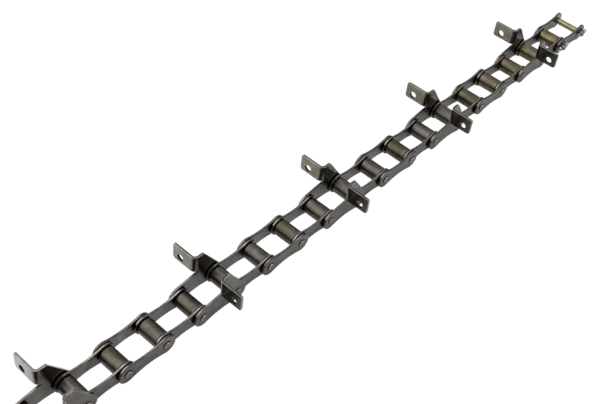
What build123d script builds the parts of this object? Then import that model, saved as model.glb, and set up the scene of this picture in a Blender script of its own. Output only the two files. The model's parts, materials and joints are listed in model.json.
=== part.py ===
"""Steel roller chain for a paddle conveyor, with bent attachment tabs on every second outer link.

Millimetres. The chain lies straight along X on the bottom edges of its side plates, with its middle pin
over the origin. Station n is the pin centre n pitches from the tail end at -X. Inner links start at the
even stations and outer links at the odd ones. The last outer link is the connecting link, which is closed
by two split pins on its -Y side.
"""
import os
from math import acos, atan2, cos, degrees, hypot, radians, sin

from build123d import *

# Chain
pitch = 41.4
link_pairs = 10  # one inner link and one outer link each
attachment_interval = 2  # link pairs from one attachment link to the next

# Rollers and bushes
roller_diameter = 16.4
roller_chamfer = 0.5
roller_side_gap = 1.2  # to the inner plate, at each end
inner_width = 22.8  # between the inner plates
bush_wall = 1.5

# Pins
pin_diameter = 7.16
running_gap = 0.08  # radial, between pin and bush and between bush and roller
rivet_stand = 1.2
rivet_chamfer = 0.6
pin_tail = 5.2  # split-pin end, out of the plate
pin_tail_chamfer = 1.0

# Side plates
plate_thickness = 2.4
plate_gap = 0.8  # between an inner plate and the outer plate beside it
head_diameter = 19.2
waist_height = 13.2
hole_chamfer = 0.4  # round each pin end

# Attachment tabs
tab_setback = 22.8  # from the leading pin to the rear face
tab_length = 24.6  # out from the side plate
tab_height = 18.0
tab_lift = 5.0  # bottom edge above the plate heads
tab_top_round = 1.8
tab_bottom_round = 2.8
tab_hole_diameter = 7.4
tab_hole_inset = 9.3  # from the outer edge of the tab
tab_hole_rise = 6.4  # from the bottom edge of the tab
bend_radius = 2.7  # on the inside of the bend
ear_length = 11.5  # top edge, from the rear face of the tab
ear_top_round = 3.0
ear_root = 13.0  # height of the plate where the ear starts, above the pins
ear_root_round = 1.0

# Split pins
split_wire = 2.5  # across both legs
split_leg_gap = 0.12
split_hole_gap = 0.15  # radial
split_shank_margin = 0.7  # straight part beyond each side of the pin
split_spread_radius = 2.0
split_spread = 32  # degrees, each leg
split_leg_end = 3.4
split_neck_radius = 1.5
split_eye_radius = 1.9

# Sizes that follow
head_radius = head_diameter / 2
axis_height = head_radius
pin_radius = pin_diameter / 2
bush_bore = pin_radius + running_gap
bush_radius = bush_bore + bush_wall
roller_bore = bush_radius + running_gap
inner_face = inner_width / 2
inner_outside = inner_face + plate_thickness
outer_face = inner_outside + plate_gap
outer_outside = outer_face + plate_thickness
pin_end = outer_outside + rivet_stand
stations = 2 * link_pairs
tail_x = -stations / 2 * pitch
link_pins = ((0, 0), (pitch, 0))


def write(part, name, station):
    """Place a piece that was drawn round station 0, pins at Z = 0, and write it as one STEP file."""
    placed = part.moved(Location((tail_x + station * pitch, 0, axis_height)))
    placed.label = name
    export_step(placed, f"parts/{name}.step")


def on_circle(centre_x, radius, angle):
    """Point on a circle round a pin centre, in the XZ plane."""
    return (centre_x + radius * cos(angle), radius * sin(angle))


def plate_outline():
    """Outline of a waisted side plate: two round heads joined by two long hollow arcs, tangent to them."""
    waist = waist_height / 2
    reach = pitch / 2
    hollow = (reach**2 + waist**2 - head_radius**2) / (2 * (head_radius - waist))
    touch = atan2(waist + hollow, reach)
    across = degrees(touch)
    with BuildLine() as outline:
        CenterArc((0, 0), head_radius, across, 360 - 2 * across)
        CenterArc((pitch, 0), head_radius, across - 180, 360 - 2 * across)
        for side in (1, -1):
            rear = on_circle(0, head_radius, side * touch)
            ThreePointArc(rear, (reach, side * waist), (pitch - rear[0], rear[1]))
    return outline.edges()


def hole_rims(part, radius):
    """Edges of the pin holes on the outermost face of a side plate."""
    rims = part.edges().filter_by(GeomType.CIRCLE)
    rims = rims.filter_by(lambda edge: abs(edge.radius - radius) < 1e-6)
    return rims.group_by(Axis.Y)[-1]


os.makedirs("parts", exist_ok=True)

# Inner link: two plates held apart by two bushes, which end flush with the plates
with BuildPart() as inner_plates:
    with BuildSketch(Plane.XZ.offset(-inner_face)):
        make_face(plate_outline())
        with Locations(*link_pins):
            Circle(bush_radius, mode=Mode.SUBTRACT)
    extrude(amount=-plate_thickness)
    mirror(about=Plane.XZ)

with BuildPart() as bushes:
    with BuildSketch(Plane.XZ):
        with Locations(*link_pins):
            Circle(bush_radius)
            Circle(bush_bore, mode=Mode.SUBTRACT)
    extrude(amount=inner_outside, both=True)

# Roller: turns on the bush
with BuildPart() as roller:
    with BuildSketch(Plane.XZ):
        Circle(roller_diameter / 2)
        Circle(roller_bore, mode=Mode.SUBTRACT)
    extrude(amount=inner_face - roller_side_gap, both=True)
    rims = roller.edges().filter_by(GeomType.CIRCLE)
    chamfer(rims.filter_by(lambda edge: edge.radius > roller_bore + roller_chamfer), roller_chamfer)

# Outer link: two plates outside the inner links, on two pins with riveted ends
with BuildPart() as outer_plates:
    with BuildSketch(Plane.XZ.offset(-outer_face)):
        make_face(plate_outline())
        with Locations(*link_pins):
            Circle(pin_radius, mode=Mode.SUBTRACT)
    extrude(amount=-plate_thickness)
    chamfer(hole_rims(outer_plates, pin_radius), hole_chamfer)
    mirror(about=Plane.XZ)

with BuildPart() as pins:
    with BuildSketch(Plane.XZ):
        with Locations(*link_pins):
            Circle(pin_radius)
    extrude(amount=pin_end, both=True)
    chamfer(pins.edges().filter_by(GeomType.CIRCLE), rivet_chamfer)

# Attachment plates: an outer plate whose ear is bent outwards into an upright tab across the chain
tab_rear = pitch - tab_setback
tab_middle = tab_rear + plate_thickness / 2
tab_bottom = head_radius + tab_lift
tab_top = tab_bottom + tab_height
tab_end = outer_outside + tab_length
plate_middle = outer_face + plate_thickness / 2
ear_start = tab_rear + plate_thickness + bend_radius
ear_front = tab_rear + ear_length
ear_middle = (ear_start + ear_front) / 2
rise = atan2(ear_root, ear_start) + acos(head_radius / hypot(ear_start, ear_root))
slope = atan2(tab_top, ear_front - pitch) - acos(head_radius / hypot(ear_front - pitch, tab_top))

with BuildPart() as attachment_plates:
    # Plate and ear. The plate rises straight from its rear head to the ear, whose front edge runs down
    # to touch the leading head
    with BuildSketch(Plane.XZ.offset(-outer_face)):
        make_face(plate_outline())
        with BuildLine():
            Polyline(
                (0, 0),
                on_circle(0, head_radius, rise),
                (ear_start, ear_root),
                (ear_start, tab_top),
                (ear_front, tab_top),
                on_circle(pitch, head_radius, slope),
                (pitch, 0),
                close=True,
            )
        make_face()
        with Locations(*link_pins):
            Circle(pin_radius, mode=Mode.SUBTRACT)
    extrude(amount=-plate_thickness)
    # Tab and bend, one strip that leaves the ear and turns outwards
    with BuildSketch(Plane.XY.offset(tab_bottom)):
        with BuildLine() as strip:
            FilletPolyline(
                (ear_middle, plate_middle),
                (tab_middle, plate_middle),
                (tab_middle, tab_end),
                radius=bend_radius + plate_thickness / 2,
            )
        trace(strip.line, plate_thickness)
    extrude(amount=tab_height)
    with BuildSketch(Plane.YZ.offset(tab_rear)):
        with Locations((tab_end - tab_hole_inset, tab_bottom + tab_hole_rise)):
            Circle(tab_hole_diameter / 2)
    extrude(amount=plate_thickness, mode=Mode.SUBTRACT)
    # Rounded corners
    tab_corners = attachment_plates.edges().filter_by(Axis.X).group_by(Axis.Y)[-1]
    fillet(tab_corners.sort_by(Axis.Z)[-1], tab_top_round)
    tab_corners = attachment_plates.edges().filter_by(Axis.X).group_by(Axis.Y)[-1]
    fillet(tab_corners.sort_by(Axis.Z)[0], tab_bottom_round)
    top_edges = attachment_plates.edges().filter_by(Axis.Y).group_by(Axis.Z)[-1]
    fillet(top_edges.sort_by(Axis.X)[-1], ear_top_round)
    rear_edges = attachment_plates.edges().filter_by(Axis.Y)
    rear_edges = rear_edges.filter_by(lambda edge: abs(edge.center().X - ear_start) < 1e-6)
    fillet(rear_edges.sort_by(Axis.Z)[0], ear_root_round)
    chamfer(hole_rims(attachment_plates, pin_radius), hole_chamfer)
    mirror(about=Plane.XZ)

# Connecting link: pins riveted at +Y only, with a split pin through each long end at -Y
split_reach = outer_outside + pin_tail / 2

with BuildPart() as connecting_pins:
    with BuildSketch(Plane.XZ.offset(-pin_end)):
        with Locations(*link_pins):
            Circle(pin_radius)
    extrude(amount=pin_end + outer_outside + pin_tail)
    ends = connecting_pins.edges().filter_by(GeomType.CIRCLE)
    chamfer(ends.group_by(Axis.Y)[-1], rivet_chamfer)
    chamfer(ends.group_by(Axis.Y)[0], pin_tail_chamfer)
    with BuildSketch(Plane.YZ.offset(-pin_diameter)):
        with Locations((-split_reach, 0)):
            Circle(split_wire / 2 + split_hole_gap)
    extrude(amount=pitch + 2 * pin_diameter, mode=Mode.SUBTRACT)

# Split pin: half-round wire folded back on itself round an eye, its two legs spread behind the pin
shank_end = pin_radius + split_shank_margin
half_gap = split_leg_gap / 2
neck_turn = degrees(acos((split_neck_radius + half_gap) / (split_neck_radius + split_eye_radius)))
spread = radians(split_spread)
bend_start = (
    -shank_end - split_spread_radius * sin(spread),
    half_gap + split_spread_radius * (1 - cos(spread)),
)
leg_tip = (
    bend_start[0] - split_leg_end * cos(spread),
    bend_start[1] + split_leg_end * sin(spread),
)

with BuildPart() as split_pin:
    with BuildLine(Plane.XZ.offset(split_reach)) as wire:
        upper_end = Line(leg_tip, bend_start)
        upper_bend = JernArc(upper_end @ 1, upper_end % 1, split_spread_radius, split_spread)
        upper_shank = Line(upper_bend @ 1, upper_bend @ 1 + Vector(2 * shank_end, 0, 0))
        upper_neck = JernArc(upper_shank @ 1, upper_shank % 1, split_neck_radius, neck_turn)
        eye = JernArc(upper_neck @ 1, upper_neck % 1, split_eye_radius, -180 - 2 * neck_turn)
        lower_neck = JernArc(eye @ 1, eye % 1, split_neck_radius, neck_turn)
        lower_shank = Line(lower_neck @ 1, lower_neck @ 1 - Vector(2 * shank_end, 0, 0))
        lower_bend = JernArc(lower_shank @ 1, lower_shank % 1, split_spread_radius, split_spread)
        Line(lower_bend @ 1, lower_bend @ 1 + lower_bend % 1 * split_leg_end)
    with BuildSketch(Plane(wire.line @ 0, x_dir=(0, 1, 0), z_dir=wire.line % 0)):
        Circle(split_wire / 2)
        Rectangle(split_wire, split_wire, align=(Align.CENTER, Align.MAX), mode=Mode.SUBTRACT)
    sweep()

with BuildPart() as split_pins:
    with Locations((0, 0, 0), (pitch, 0, 0)):
        add(split_pin.part)

# The chain, from the tail link to the connecting link
tail_link = Compound([*inner_plates.solids(), *bushes.solids()])
write(tail_link, "tail_link", 0)
for link in range(link_pairs):
    number = f"{link + 1:02d}"
    inner_station = 2 * link
    outer_station = inner_station + 1
    write(roller.part, f"roller_{inner_station:02d}", inner_station)
    write(roller.part, f"roller_{outer_station:02d}", outer_station)
    if link > 0:
        write(inner_plates.part, f"inner_plates_{number}", inner_station)
        write(bushes.part, f"bushes_{number}", inner_station)
    if link == link_pairs - 1:
        write(outer_plates.part, "connecting_plates", outer_station)
        write(connecting_pins.part, "connecting_pins", outer_station)
        write(split_pins.part, "split_pins", outer_station)
    elif link % attachment_interval == 0:
        write(attachment_plates.part, f"attachment_plates_{number}", outer_station)
        write(pins.part, f"pins_{number}", outer_station)
    else:
        write(outer_plates.part, f"outer_plates_{number}", outer_station)
        write(pins.part, f"pins_{number}", outer_station)
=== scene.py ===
"""Looks of a steel conveyor chain: rollers, bushes, side plates, bent attachment tabs, pins, split pins."""
import json
from math import atan2, cos, pi, radians, sin

import bmesh
import bpy
from mathutils import Matrix, Vector


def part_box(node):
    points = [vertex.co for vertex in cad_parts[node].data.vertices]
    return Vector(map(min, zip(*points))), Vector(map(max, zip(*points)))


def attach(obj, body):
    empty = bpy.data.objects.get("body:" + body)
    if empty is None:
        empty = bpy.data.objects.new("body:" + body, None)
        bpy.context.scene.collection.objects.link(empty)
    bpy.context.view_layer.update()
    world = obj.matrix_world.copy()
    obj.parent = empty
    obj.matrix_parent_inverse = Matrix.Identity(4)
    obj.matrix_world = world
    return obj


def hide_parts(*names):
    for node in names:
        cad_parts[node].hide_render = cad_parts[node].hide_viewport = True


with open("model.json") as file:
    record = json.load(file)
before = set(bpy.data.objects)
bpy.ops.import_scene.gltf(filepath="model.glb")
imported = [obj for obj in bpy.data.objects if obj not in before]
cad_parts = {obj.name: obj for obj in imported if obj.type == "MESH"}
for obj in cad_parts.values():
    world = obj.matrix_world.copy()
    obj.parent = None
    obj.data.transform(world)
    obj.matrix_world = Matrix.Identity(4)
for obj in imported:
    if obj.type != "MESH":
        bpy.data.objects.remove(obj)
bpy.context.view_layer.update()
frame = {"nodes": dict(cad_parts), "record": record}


# Rollers
# Plain tubes cut from medium-carbon steel bar, turned, case hardened and oiled. They run loose on the
# bushes, one at every pin. The heat leaves them a warm olive grey, with browner patches.
MM = 0.001  # in metres
SAME_POINT = 0.001 * MM  # points that lie nearer than this are one
ROLLER_DIAMETER = 16.4 * MM
ROLLER_BORE = 10.48 * MM
ROLLER_LENGTH = 20.4 * MM
ROLLER_EASING = 0.5 * MM

bodies = frame["record"]["behaviour"]["bodies"]
body_of_node = {node: body for body, nodes in bodies.items() for node in nodes}
roller_nodes = sorted(node for node in frame["nodes"] if node.startswith("roller"))
pin_centres = [sum(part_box(node), Vector()) / 2 for node in roller_nodes]
PITCH = pin_centres[1].x - pin_centres[0].x
pin_centres.append(pin_centres[-1] + Vector((PITCH, 0, 0)))


def add(tree, kind, inputs=None, **settings):
    """Adds a node. Inputs go by name or number, and take a value, an output or a node's first output."""
    node = tree.nodes.new(kind)
    for name, value in settings.items():
        setattr(node, name, value)
    for key, value in (inputs or {}).items():
        if isinstance(value, bpy.types.Node):
            value = value.outputs[0]
        if isinstance(value, bpy.types.NodeSocket):
            tree.links.new(value, node.inputs[key])
        else:
            node.inputs[key].default_value = value
    return node


def begin_tree(name, **inputs):
    """Starts a geometry tree with these named inputs, and gives it and its input sockets by name."""
    tree = bpy.data.node_groups.new(name, "GeometryNodeTree")
    for label, kind in inputs.items():
        tree.interface.new_socket(label, in_out="INPUT", socket_type="NodeSocket" + kind)
    tree.interface.new_socket("Result", in_out="OUTPUT", socket_type="NodeSocketGeometry")
    return tree, tree.nodes.new("NodeGroupInput").outputs


def end_tree(tree, geometry, steel):
    """Ends a geometry tree: copies made real, steel put on, result given out."""
    real = add(tree, "GeometryNodeRealizeInstances", {0: geometry})
    dressed = add(tree, "GeometryNodeSetMaterial", {"Geometry": real, "Material": steel})
    add(tree, "NodeGroupOutput", {0: dressed})


def drawing(name, lines):
    """Mesh of lines in the XY plane, which a tree starts from. A line that ends on its start is closed."""
    points, edges = [], []
    for line in lines:
        closed = line[0] == line[-1]
        first, count = len(points), len(line) - closed
        points += [(x, y, 0) for x, y in line[:count]]
        edges += [(first + i, first + (i + 1) % count) for i in range(count - (not closed))]
    mesh = bpy.data.meshes.new(name)
    mesh.from_pydata(points, edges, [])
    return mesh


def make(name, tree, lines, **sizes):
    """Runs a tree on a drawing, with these sizes, and gives the result as a plain mesh object."""
    piece = bpy.data.objects.new(name, drawing(name, lines))
    bpy.context.scene.collection.objects.link(piece)
    modifier = piece.modifiers.new("shape", "NODES")
    modifier.node_group = tree
    for socket in tree.interface.items_tree:
        if socket.in_out == "INPUT" and socket.name in sizes:
            modifier[socket.identifier] = sizes[socket.name]
    graph = bpy.context.evaluated_depsgraph_get()
    mesh = bpy.data.meshes.new_from_object(piece.evaluated_get(graph), depsgraph=graph)
    piece.modifiers.clear()
    piece.data = mesh
    return piece


FLAT, SHEARED, EASED, GROOVED = range(4)  # the order of a piece's steels
WALL_MATCH = 0.02 * MM  # an edge this near to the wall's thickness runs across it
HOLLOW = radians(4)  # a hole turns in by more than this from facet to facet, and a plate's waist by less
SMOOTH = radians(28)  # two faces that meet at less than this are shaded as one
END_FACE, SIDE_FACE = 0.98, 0.1  # how far a face of a pin turns towards its end


def finish_piece(
    piece, steel, node, eased=None, easing=0.0, corner=50, wall=None, sheared=None, grooved=None,
):
    """Eases sharp corners, smooths the rest, and puts the piece in place of a CAD node, which it hides, on
    that node's body.
    The eased corners have their own steel. So have the edges of a plate with this wall, and its holes.
    A pin has such a steel but no easing: its rounded shoulders wear it, and its sides the last steel."""
    piece.data.materials.clear()  # this sets every face back to the first steel
    for coat in (steel, sheared or steel, eased or steel, grooved or steel):
        piece.data.materials.append(coat)
    shape = bmesh.new()
    shape.from_mesh(piece.data)
    if wall:
        for face in shape.faces:
            across = [edge for edge in face.edges if abs(edge.calc_length() - wall) < WALL_MATCH]
            if len(face.edges) == 4 and len(across) >= 2:
                hollow = all(edge.calc_face_angle_signed(0) < -HOLLOW for edge in across)
                face.material_index = GROOVED if hollow else SHEARED
    if easing:
        sharp = [
            edge for edge in shape.edges
            if edge.calc_face_angle(0) > radians(corner)
            and all(face.material_index != GROOVED for face in edge.link_faces)
        ]
        bmesh.ops.bevel(
            shape, geom=sharp, offset=easing, offset_type="OFFSET", segments=3, profile=0.5,
            affect="EDGES", material=EASED, clamp_overlap=False, loop_slide=False,
        )
    elif eased:
        for face in shape.faces:
            if abs(face.normal.y) < END_FACE:
                face.material_index = EASED if abs(face.normal.y) > SIDE_FACE else GROOVED
    for face in shape.faces:
        face.smooth = True
    for edge in shape.edges:
        faces = edge.link_faces
        bound = len(faces) == 2 and faces[0].material_index != faces[1].material_index
        edge.smooth = not bound and edge.calc_face_angle(0) < SMOOTH
    shape.to_mesh(piece.data)
    shape.free()
    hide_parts(node)
    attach(piece, body_of_node[node])


# The turned shape: a half section, rounded at its corners and swept round the Y axis, copied along X
turned, given = begin_tree(
    "Turned part", Section="Geometry", Waist="Float", Rounding="Float", Facets="Int",
    Count="Int", Spacing="Float", Place="Vector", Steel="Material",
)
section = add(turned, "GeometryNodeMeshToCurve", {0: given["Section"]})
section = add(
    turned, "GeometryNodeFilletCurve",
    {"Curve": section, "Count": 4, "Radius": given["Rounding"], "Limit Radius": True}, mode="POLY",
)
path = add(
    turned, "GeometryNodeCurvePrimitiveCircle",
    {"Radius": given["Waist"], "Resolution": given["Facets"]},
)
swept = add(turned, "GeometryNodeCurveToMesh", {"Curve": path, "Profile Curve": section})
swept = add(turned, "GeometryNodeMergeByDistance", {"Geometry": swept, "Distance": SAME_POINT})
swept = add(turned, "GeometryNodeTransform", {"Geometry": swept, "Rotation": (-pi / 2, 0, 0)})
step = add(turned, "ShaderNodeCombineXYZ", {"X": given["Spacing"]})
spots = add(
    turned, "GeometryNodeMeshLine",
    {"Count": given["Count"], "Start Location": given["Place"], "Offset": step}, mode="OFFSET",
)
copies = add(turned, "GeometryNodeInstanceOnPoints", {"Points": spots, "Instance": swept})
end_tree(turned, copies, given["Steel"])


def tube_section(bore, outside, length):
    """Half section of a tube, set out from its bore."""
    wall, end = (outside - bore) / 2, length / 2
    return [[(0, -end), (wall, -end), (wall, end), (0, end), (0, -end)]]


def linear(code):
    """An sRGB hex colour as linear red, green and blue, and full alpha."""
    parts = [int(code[i:i + 2], 16) / 255 for i in (1, 3, 5)]
    return [p / 12.92 if p <= 0.04045 else ((p + 0.055) / 1.055) ** 2.4 for p in parts] + [1.0]


FILM_PATCH = 9 * MM


def oiled_steel(name, body, stain, bright, film, stain_mm, grain_mm, roughness, relief, film_pins=(14, 18)):
    """Bare steel under oil: patches of stain, and a grain that may be drawn out one way, and catches light.
    From the first of two pins to the second it goes over, in patches, to the colour of the thicker film."""
    material = bpy.data.materials.new(name)
    material.use_nodes = True
    tree = material.node_tree
    tree.nodes.clear()
    where = add(tree, "ShaderNodeTexCoord").outputs["Object"]
    patches = add(
        tree, "ShaderNodeTexNoise",
        {"Vector": where, "Scale": 1 / (stain_mm * MM), "Detail": 4.0, "Roughness": 0.65},
    )
    drawn = add(tree, "ShaderNodeMapping", {"Vector": where, "Scale": [1 / (mm * MM) for mm in grain_mm]})
    grain = add(tree, "ShaderNodeTexNoise", {"Vector": drawn, "Scale": 1.0, "Detail": 2.0, "Roughness": 0.5})
    stained = add(tree, "ShaderNodeMapRange", {"Value": patches, "From Min": 0.4, "From Max": 0.64})
    tone = add(
        tree, "ShaderNodeMix", {"Factor": stained, 6: linear(body), 7: linear(stain)}, data_type="RGBA",
    )
    along = add(tree, "ShaderNodeSeparateXYZ", {0: where}).outputs["X"]
    bare, covered = (pin_centres[number].x for number in film_pins)
    headward = add(tree, "ShaderNodeMapRange", {"Value": along, "From Min": bare, "From Max": covered})
    drops = add(
        tree, "ShaderNodeTexNoise",
        {"Vector": where, "Scale": 1 / FILM_PATCH, "Detail": 3.0, "Roughness": 0.6},
    )
    drops = add(
        tree, "ShaderNodeMapRange",
        {"Value": drops, "From Min": 0.4, "From Max": 0.6, "To Min": 0.15, "To Max": 1.0},
    )
    filmed = add(tree, "ShaderNodeMath", {0: headward, 1: drops}, operation="MULTIPLY")
    tone = add(
        tree, "ShaderNodeMix", {"Factor": filmed, 6: tone.outputs[2], 7: linear(film)}, data_type="RGBA",
    )
    rubbed = add(
        tree, "ShaderNodeMapRange",
        {"Value": grain, "From Min": 0.5, "From Max": 0.9, "To Max": 0.5},
    )
    colour = add(
        tree, "ShaderNodeMix", {"Factor": rubbed, 6: tone.outputs[2], 7: linear(bright)}, data_type="RGBA",
    )
    dullness = add(
        tree, "ShaderNodeMapRange",
        {"Value": grain, "From Min": 0.3, "From Max": 0.7, "To Min": roughness[0], "To Max": roughness[1]},
    )
    bumps = add(tree, "ShaderNodeBump", {"Strength": 0.5, "Distance": relief * MM, "Height": grain})
    shader = add(
        tree, "ShaderNodeBsdfPrincipled",
        {"Base Color": colour.outputs[2], "Metallic": 1.0, "Roughness": dullness, "Normal": bumps},
    )
    add(tree, "ShaderNodeOutputMaterial", {0: shader})
    return material


# Case-hardened carbon steel, turned: tool marks run round it, drawn coarser than the real 0.2 mm
roller_steel = oiled_steel(
    "case_hardened_turned_steel", body="#605d57", stain="#474238", bright="#7d786f", film="#7a6f4d",
    stain_mm=24, grain_mm=(9, 0.8, 9), roughness=(0.3, 0.38), relief=0.005,
)
# The same steel, made paler on the rounded rims: a painted highlight along their edges
rim_steel = oiled_steel(
    "case_hardened_rim_painted_highlight", body="#a8a39c", stain="#7d786f", bright="#bab5ad", film="#a39d7c",
    stain_mm=5, grain_mm=(2, 2, 2), roughness=(0.18, 0.26), relief=0.005,
)
for number, node in enumerate(roller_nodes):
    roller = make(
        f"roller_tube_{number:02d}", turned, tube_section(ROLLER_BORE, ROLLER_DIAMETER, ROLLER_LENGTH),
        Waist=ROLLER_BORE / 2, Rounding=0.0, Facets=64, Count=1, Spacing=PITCH,
        Place=pin_centres[number], Steel=roller_steel,
    )
    finish_piece(roller, roller_steel, node, eased=rim_steel, easing=ROLLER_EASING)


# Bushes
# Curled or drawn steel tubes pressed into the inner side plates, two to a link. They stop flush with the
# outsides of the plates and hold them apart. They are ground smooth, so they are the cleaner grey.
BUSH_BORE = 7.32 * MM
BUSH_DIAMETER = 10.32 * MM
BUSH_LENGTH = 27.6 * MM
BUSH_ROUNDING = 0.3 * MM

bush_steel = oiled_steel(
    "case_hardened_ground_steel", body="#6f6b66", stain="#57514a", bright="#928e88", film="#736c50",
    stain_mm=8, grain_mm=(5, 0.5, 5), roughness=(0.18, 0.26), relief=0.01,
)


def station_of(node):
    """How many pitches a link's rear pin is from the first roller."""
    return round((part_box(node)[0].x - pin_centres[0].x) / PITCH)


inner_stations = {}
for node in frame["nodes"]:
    if node.startswith("bushes") or node == "tail_link":
        inner_stations[node] = station_of(node)
for node, station in inner_stations.items():
    bush_pair = make(
        f"bush_pair_{station:02d}", turned, tube_section(BUSH_BORE, BUSH_DIAMETER, BUSH_LENGTH),
        Waist=BUSH_BORE / 2, Rounding=BUSH_ROUNDING, Facets=48, Count=2, Spacing=PITCH,
        Place=pin_centres[station], Steel=bush_steel,
    )
    finish_piece(bush_pair, bush_steel, node)


# Side plates
# Blanked from rolled carbon-steel strip, waisted between two round heads, heat treated, tumbled and
# oiled. Inner plates are pressed on the bushes, and outer plates are riveted on the pins.
PLATE_THICKNESS = 2.4 * MM
HEAD_RADIUS = 9.6 * MM
WAIST = 6.6 * MM  # from the middle line to the hollow edge
PLATE_EASING = 0.5 * MM
INNER_SPREAD = 22.8 * MM  # between the faces of a pair
OUTER_SPREAD = 29.2 * MM
PIN_RADIUS = 3.58 * MM
PIN_GROOVE = 0.6 * MM  # round each pin end
HEAD_STEPS, WAIST_STEPS, HOLE_STEPS = 40, 24, 40  # straight runs that draw each arc of the outline


def arc(centre, radius, start, end, steps):
    """Points along a circle, both ends included."""
    turns = (start + (end - start) * i / steps for i in range(steps + 1))
    return [(centre[0] + radius * cos(turn), centre[1] + radius * sin(turn)) for turn in turns]


def plate_drawing(hole):
    """Outline of a waisted plate round two pins, and the holes for them."""
    reach = PITCH / 2
    hollow = (reach**2 + WAIST**2 - HEAD_RADIUS**2) / (2 * (HEAD_RADIUS - WAIST))
    touch = atan2(WAIST + hollow, reach)
    rear = arc((0, 0), HEAD_RADIUS, touch, 2 * pi - touch, HEAD_STEPS)
    below = arc((reach, -WAIST - hollow), hollow, pi - touch, touch, WAIST_STEPS)
    lead = arc((PITCH, 0), HEAD_RADIUS, touch - pi, pi - touch, HEAD_STEPS)
    above = arc((reach, WAIST + hollow), hollow, -touch, touch - pi, WAIST_STEPS)
    outline = [*rear, *below[1:], *lead[1:], *above[1:-1]]
    holes = [arc((x, 0), hole, 0, 2 * pi, HOLE_STEPS)[:-1] for x in (0, PITCH)]
    return [[*line, line[0]] for line in (outline, *holes)]


# The blanked shape: an outline with its holes, filled and given its thickness, one each side of the chain
blanked, given = begin_tree(
    "Blanked pair", Outline="Geometry", Thickness="Float", Spread="Float", Place="Vector", Steel="Material",
)
outline = add(blanked, "GeometryNodeMeshToCurve", {0: given["Outline"]})
blank = add(blanked, "GeometryNodeFillCurve", {0: outline}, mode="NGONS")
raised = add(
    blanked, "GeometryNodeExtrudeMesh",
    {"Mesh": blank, "Offset Scale": given["Thickness"], "Individual": False}, mode="FACES",
)
back = add(blanked, "GeometryNodeFlipFaces", {0: blank})
solid = add(blanked, "GeometryNodeJoinGeometry")
for part in (raised, back):
    blanked.links.new(part.outputs[0], solid.inputs[0])
solid = add(blanked, "GeometryNodeMergeByDistance", {"Geometry": solid, "Distance": SAME_POINT})
solid = add(blanked, "GeometryNodeTransform", {"Geometry": solid, "Rotation": (pi / 2, 0, 0)})
half = add(blanked, "ShaderNodeMath", {0: given["Spread"], 1: 0.5}, operation="MULTIPLY")
far = add(blanked, "ShaderNodeMath", {0: half, 1: given["Thickness"]}, operation="ADD")
near = add(blanked, "ShaderNodeMath", {0: half, 1: -1.0}, operation="MULTIPLY")
pair = add(blanked, "GeometryNodeJoinGeometry")
for side in (far, near):
    shift = add(blanked, "ShaderNodeCombineXYZ", {"Y": side})
    moved = add(blanked, "GeometryNodeTransform", {"Geometry": solid, "Translation": shift})
    blanked.links.new(moved.outputs[0], pair.inputs[0])
pair = add(blanked, "GeometryNodeTransform", {"Geometry": pair, "Translation": given["Place"]})
end_tree(blanked, pair, given["Steel"])

# Heat-treated strip, tumbled and oiled: rolling grain along the plate, drawn coarser than the real one
plate_steel = oiled_steel(
    "heat_treated_strip_steel", body="#6f6d6b", stain="#575350", bright="#878380", film="#66625e",
    stain_mm=14, grain_mm=(2.4, 0.9, 0.9), roughness=(0.14, 0.22), relief=0.02,
)
# The same strip, paler on its sheared edges: a painted highlight along them, strongest on the inner plates
inner_edge_highlight_steel = oiled_steel(
    "tumbled_edge_steel_inner", body="#8a847e", stain="#625d56", bright="#a8a29b", film="#837d71",
    stain_mm=6, grain_mm=(1.5, 1.5, 1.5), roughness=(0.2, 0.3), relief=0.01,
)
edge_steel = oiled_steel(
    "outer_plate_edge_painted_highlight", body="#77726d", stain="#54504b", bright="#969089", film="#736e66",
    stain_mm=6, grain_mm=(1.5, 1.5, 1.5), roughness=(0.2, 0.3), relief=0.01,
)
# The rounded corners of the plates are darker: painted shade, which draws dark lines round the plates and
# between them
corner_steel = oiled_steel(
    "corner_painted_shade_steel", body="#4a4640", stain="#35312c", bright="#6c675f", film="#46423a",
    stain_mm=5, grain_mm=(1.5, 1.5, 1.5), roughness=(0.25, 0.35), relief=0.01,
)
# The punched holes, the grooves round the pins and the pins' sides in them are nearly black: painted shade
# in these recesses
groove_steel = oiled_steel(
    "groove_painted_shade_steel", body="#2e2b27", stain="#211f1b", bright="#47433d", film="#2b2822",
    stain_mm=5, grain_mm=(1.5, 1.5, 1.5), roughness=(0.3, 0.4), relief=0.01,
)
plate_pairs = []  # name, node, station, spread, hole radius, steel of the edges
for node, station in inner_stations.items():
    plate_node = node.replace("bushes", "inner_plates")
    hole = BUSH_DIAMETER / 2
    plate_pairs.append(("inner_pair", plate_node, station, INNER_SPREAD, hole, inner_edge_highlight_steel))
for node in frame["nodes"]:
    if node.startswith(("outer_plates", "connecting_plates")):
        hole = PIN_RADIUS + PIN_GROOVE
        plate_pairs.append(("outer_pair", node, station_of(node), OUTER_SPREAD, hole, edge_steel))
for name, node, station, spread, hole, sheared in plate_pairs:
    plates = make(
        f"{name}_{station:02d}", blanked, plate_drawing(hole),
        Thickness=PLATE_THICKNESS, Spread=spread, Place=pin_centres[station], Steel=plate_steel,
    )
    # Their rounded corners take the painted shade, and the walls of their holes the darker painted shade
    finish_piece(
        plates, plate_steel, node,
        eased=corner_steel, easing=PLATE_EASING, wall=PLATE_THICKNESS, sheared=sheared, grooved=groove_steel,
    )


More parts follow.
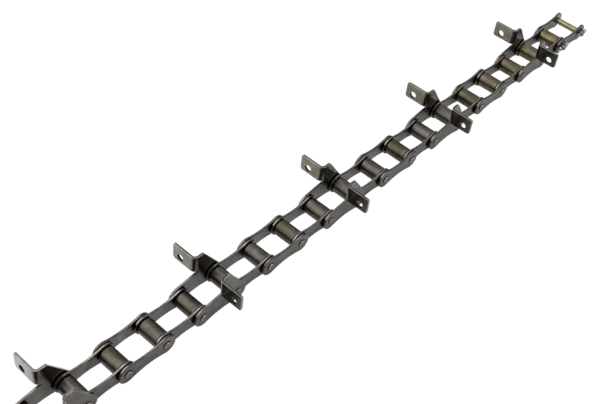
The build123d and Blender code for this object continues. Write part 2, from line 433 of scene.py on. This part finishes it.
# Attachment plates
# Outer plates with a tall ear, whose rear part is folded outwards on a press into an upright tab with a
# bolt hole. A paddle or scraper is bolted across each pair of tabs.
def from_solid(name, node):
    """A piece that starts as a merged copy of a CAD node, its flat faces whole again."""
    piece = bpy.data.objects.new(name, frame["nodes"][node].data.copy())
    bpy.context.scene.collection.objects.link(piece)
    shape = bmesh.new()
    shape.from_mesh(piece.data)
    bmesh.ops.remove_doubles(shape, verts=shape.verts, dist=2 * SAME_POINT)
    bmesh.ops.dissolve_limit(shape, angle_limit=radians(1), verts=shape.verts, edges=shape.edges)
    shape.to_mesh(piece.data)
    shape.free()
    return piece


TAB_EASING = 0.35 * MM
# The edges of the ears are paler still: the strongest painted highlight, on the upper edges only
tab_edge_steel = oiled_steel(
    "tab_edge_painted_highlight", body="#a19c95", stain="#75706a", bright="#b9b4ad", film="#98928a",
    stain_mm=6, grain_mm=(1.5, 1.5, 1.5), roughness=(0.2, 0.3), relief=0.01,
)
# The folded tabs are browner with oil, more so towards the connecting link. The grain turns with the fold
tab_steel = oiled_steel(
    "oil_browned_strip_steel", body="#6e6c69", stain="#55514e", bright="#878380", film="#5a5545",
    stain_mm=14, grain_mm=(0.9, 2.4, 0.9), roughness=(0.14, 0.22), relief=0.02, film_pins=(3, 9),
)
# The near tabs get a darker copy of that steel: painted shade, for what they mirror of the chain
near_tab_steel = oiled_steel(
    "near_tab_painted_shade_steel", body="#5b5a57", stain="#474440", bright="#716e6b", film="#4a4638",
    stain_mm=14, grain_mm=(0.9, 2.4, 0.9), roughness=(0.14, 0.22), relief=0.02, film_pins=(3, 9),
)
EAR_FOOT = 21.0 * MM  # above the floor: only above it do the edges carry the stronger painted highlight
FOLD_FOOT = OUTER_SPREAD / 2 + PLATE_THICKNESS + 0.2 * MM  # from the middle line: outside it is the fold
DULL_EDGE, DULL_CORNER, FAR_TAB, NEAR_TAB = range(4, 8)  # four more steels, after a plate's own
for node in frame["nodes"]:
    if node.startswith("attachment_plates"):
        tab_plates = from_solid(node.replace("attachment_plates", "tab_plates"), node)
        finish_piece(
            tab_plates, plate_steel, node,
            eased=tab_edge_steel, easing=TAB_EASING, wall=PLATE_THICKNESS, sheared=tab_edge_steel,
            grooved=groove_steel,
        )
        for coat in (edge_steel, corner_steel, tab_steel, near_tab_steel):
            tab_plates.data.materials.append(coat)
        for face in tab_plates.data.polygons:
            if face.center.z < EAR_FOOT and face.material_index in (SHEARED, EASED):
                face.material_index = DULL_EDGE if face.material_index == SHEARED else DULL_CORNER
            elif face.material_index == FLAT and abs(face.center.y) > FOLD_FOOT:
                face.material_index = FAR_TAB if face.center.y > 0 else NEAR_TAB


# Pins
# Ground alloy-steel pins, pressed through the outer plates and riveted over at both ends. They turn in
# the bushes. The riveted ends stand a little proud of the plates.
RIVETED_LENGTH = 36.4 * MM
SHOULDER = 0.6 * MM

pin_steel = oiled_steel(
    "riveted_alloy_steel", body="#787674", stain="#595653", bright="#9b9995", film="#736f69",
    stain_mm=4, grain_mm=(1.2, 1.2, 1.2), roughness=(0.18, 0.26), relief=0.015,
)
# The hammered shoulders of the riveted ends are paler: a painted highlight
shoulder_steel = oiled_steel(
    "shoulder_painted_highlight_steel", body="#b9b5af", stain="#8f8b84", bright="#cdc9c3", film="#aeaa9f",
    stain_mm=3, grain_mm=(1.2, 1.2, 1.2), roughness=(0.18, 0.26), relief=0.01,
)
pin_end = RIVETED_LENGTH / 2
pin_section = [[(-PIN_RADIUS, -pin_end), (0, -pin_end), (0, pin_end), (-PIN_RADIUS, pin_end)]]
for node in frame["nodes"]:
    if node.startswith("pins"):
        station = station_of(node)
        pin_pair = make(
            f"pin_pair_{station:02d}", turned, pin_section,
            Waist=PIN_RADIUS, Rounding=SHOULDER, Facets=48, Count=2, Spacing=PITCH,
            Place=pin_centres[station], Steel=pin_steel,
        )
        # Their shoulders wear the painted highlight, and their sides the painted shade of the grooves
        finish_piece(pin_pair, pin_steel, node, eased=shoulder_steel, grooved=groove_steel)


# Connecting pins and split pins
# The link that closes the chain has longer pins, riveted on one side. They are zinc plated, and yellow
# passivation gives them a pale gold. Their plain ends are cross drilled for split pins of half-round wire.
passivated_steel = oiled_steel(
    "yellow_passivated_zinc_on_steel", body="#8e8767", stain="#6b6447", bright="#b5af90", film="#8e8767",
    stain_mm=6, grain_mm=(1.5, 1.5, 1.5), roughness=(0.2, 0.32), relief=0.005,
)
# Drawing leaves the wire nearly white, with sharp glints
wire_steel = oiled_steel(
    "bright_drawn_wire", body="#d8d5d0", stain="#a9a59f", bright="#ebe8e3", film="#d8d5d0",
    stain_mm=3, grain_mm=(1.5, 1.5, 1.5), roughness=(0.12, 0.2), relief=0.003,
)
PLATING_END = OUTER_SPREAD / 2 + PLATE_THICKNESS  # outside the plates it is worn through
LONG_PIN_EASING = 0.25 * MM
WIRE_EASING = 0.15 * MM
long_pins = from_solid("long_pins", "connecting_pins")
shape = bmesh.new()
shape.from_mesh(long_pins.data)
for side in (-1, 1):
    everything = [*shape.verts, *shape.edges, *shape.faces]
    bmesh.ops.bisect_plane(shape, geom=everything, plane_co=(0, side * PLATING_END, 0), plane_no=(0, 1, 0))
shape.to_mesh(long_pins.data)
shape.free()
finish_piece(long_pins, passivated_steel, "connecting_pins", easing=LONG_PIN_EASING, corner=30)
long_pins.data.materials.append(pin_steel)
for face in long_pins.data.polygons:
    if abs(face.center.y) > PLATING_END:
        face.material_index = len(long_pins.data.materials) - 1
finish_piece(
    from_solid("wire_pins", "split_pins"), wire_steel, "split_pins",
    easing=WIRE_EASING, corner=60,
)


# Floor
# A sheet of white card under the chain, which runs on as far as any view goes. The camera alone sees nearly
# through it, so that links which swing below it still show. Lamps meet it as card. Reflections meet card
# with a painted glow on it, which no lamp gives.
FLOOR_REACH = 12.0
FLOOR_DROP = 0.2 * MM  # under the plates, so that the two don't touch
CAMERA_GLOW = 0.8
CLEARNESS = 0.92  # the share that the camera sees through

card = bpy.data.materials.new("white_card")
card.use_nodes = True
tree = card.node_tree
tree.nodes.clear()
ray = add(tree, "ShaderNodeLightPath").outputs
seen = add(tree, "ShaderNodeMath", {0: ray["Is Camera Ray"], 1: CAMERA_GLOW}, operation="MULTIPLY")
where = add(tree, "ShaderNodeTexCoord").outputs["Object"]
across = add(tree, "ShaderNodeSeparateXYZ", {0: where}).outputs["Y"]
along = add(tree, "ShaderNodeSeparateXYZ", {0: where}).outputs["X"]
# Reflections alone see a painted glow on the card: palest on the far side, it dims towards the connecting
# link
painted_card_glow = add(
    tree, "ShaderNodeMapRange",
    {"Value": across, "From Min": -20 * MM, "From Max": 60 * MM, "To Min": 0.08, "To Max": 0.7},
)
middle, headmost = pin_centres[9].x, pin_centres[13].x
fading = add(
    tree, "ShaderNodeMapRange",
    {"Value": along, "From Min": middle, "From Max": headmost, "To Min": 1.0, "To Max": 0.75},
)
painted_card_glow = add(tree, "ShaderNodeMath", {0: painted_card_glow, 1: fading}, operation="MULTIPLY")
mirrored = add(tree, "ShaderNodeMath", {0: ray["Is Glossy Ray"], 1: painted_card_glow}, operation="MULTIPLY")
shown = add(tree, "ShaderNodeMath", {0: seen, 1: mirrored}, operation="ADD")
shown = add(tree, "ShaderNodeMath", {0: shown, 1: ray["Is Transmission Ray"]}, operation="ADD")
paper = add(tree, "ShaderNodeBsdfDiffuse", {"Color": linear("#e6e6e6")})
glow = add(tree, "ShaderNodeEmission", {"Color": linear("#ffffff"), "Strength": shown})
both = add(tree, "ShaderNodeAddShader", {0: paper, 1: glow})
thin = add(tree, "ShaderNodeMath", {0: ray["Is Camera Ray"], 1: CLEARNESS}, operation="MULTIPLY")
sheet = add(tree, "ShaderNodeMixShader", {0: thin, 1: both, 2: add(tree, "ShaderNodeBsdfTransparent")})
add(tree, "ShaderNodeOutputMaterial", {0: sheet})

floor_mesh = bpy.data.meshes.new("card_floor")
corners = [(x * FLOOR_REACH, y * FLOOR_REACH, -FLOOR_DROP) for x, y in ((-1, -1), (1, -1), (1, 1), (-1, 1))]
floor_mesh.from_pydata(corners, [], [(0, 1, 2, 3)])
floor_mesh.materials.append(card)
floor = bpy.data.objects.new("card_floor", floor_mesh)
bpy.context.scene.collection.objects.link(floor)


# World
# A pale studio all round, brighter overhead than at eye level, as diffusing sheets make it. The camera
# sees it as plain white.
world = bpy.data.worlds.new("pale_studio")
world.use_nodes = True
bpy.context.scene.world = world
tree = world.node_tree
tree.nodes.clear()
ray = add(tree, "ShaderNodeLightPath").outputs
heading = add(tree, "ShaderNodeTexCoord").outputs["Generated"]
height = add(tree, "ShaderNodeSeparateXYZ", {0: heading}).outputs["Z"]
level = add(
    tree, "ShaderNodeMapRange",
    {"Value": height, "From Min": 0.0, "From Max": 0.9, "To Min": 0.35, "To Max": 0.92},
)
backdrop = add(tree, "ShaderNodeMath", {0: ray["Is Camera Ray"], 1: level}, operation="MAXIMUM")
room = add(tree, "ShaderNodeBackground", {"Color": linear("#ffffff"), "Strength": backdrop})
add(tree, "ShaderNodeOutputWorld", {0: room})


# Lamps
# A large soft key box from the far left, and a small one low on the near right that picks out the rims.
# Both face the middle of the chain.
lamps = [
    ("key_box", (-0.9, 1.4, 1.4), 2.8, 34.0),  # name, place, side in metres, watts
    ("rim_box", (0.6, -1.6, 0.9), 0.8, 5.0),
]
for name, place, side, watts in lamps:
    lamp = bpy.data.lights.new(name, "AREA")
    lamp.shape = "SQUARE"
    lamp.size = side
    lamp.energy = watts
    box = bpy.data.objects.new(name, lamp)
    box.location = place
    box.rotation_euler = (-Vector(place)).to_track_quat("-Z", "Y").to_euler()
    bpy.context.scene.collection.objects.link(box)


# Camera
# From the near left and above, about a metre away, with the chain running from lower left to upper right.
# It is rolled a little about its own axis.
AZIMUTH, ELEVATION, ROLL = radians(-53.249), radians(45.442), radians(7.791)
DISTANCE = 952.1 * MM
LENS = 59.886
SENSOR = 36.0
AIM = Vector((-45.09, 19.6, 9.6)) * MM

back = Vector((sin(AZIMUTH) * cos(ELEVATION), -cos(AZIMUTH) * cos(ELEVATION), sin(ELEVATION)))
across = (-back).cross(Vector((0, 0, 1))).normalized()
upright = across.cross(-back)
across, upright = (
    across * cos(ROLL) + upright * sin(ROLL),
    upright * cos(ROLL) - across * sin(ROLL),
)
camera_data = bpy.data.cameras.new("camera")
camera_data.lens = LENS
camera_data.sensor_width = SENSOR
camera = bpy.data.objects.new("camera", camera_data)
turn = Matrix((across, upright, back)).transposed().to_4x4()
camera.matrix_world = Matrix.Translation(AIM + back * DISTANCE) @ turn
bpy.context.scene.collection.objects.link(camera)
bpy.context.scene.camera = camera

bpy.context.scene.view_settings.view_transform = "Standard"
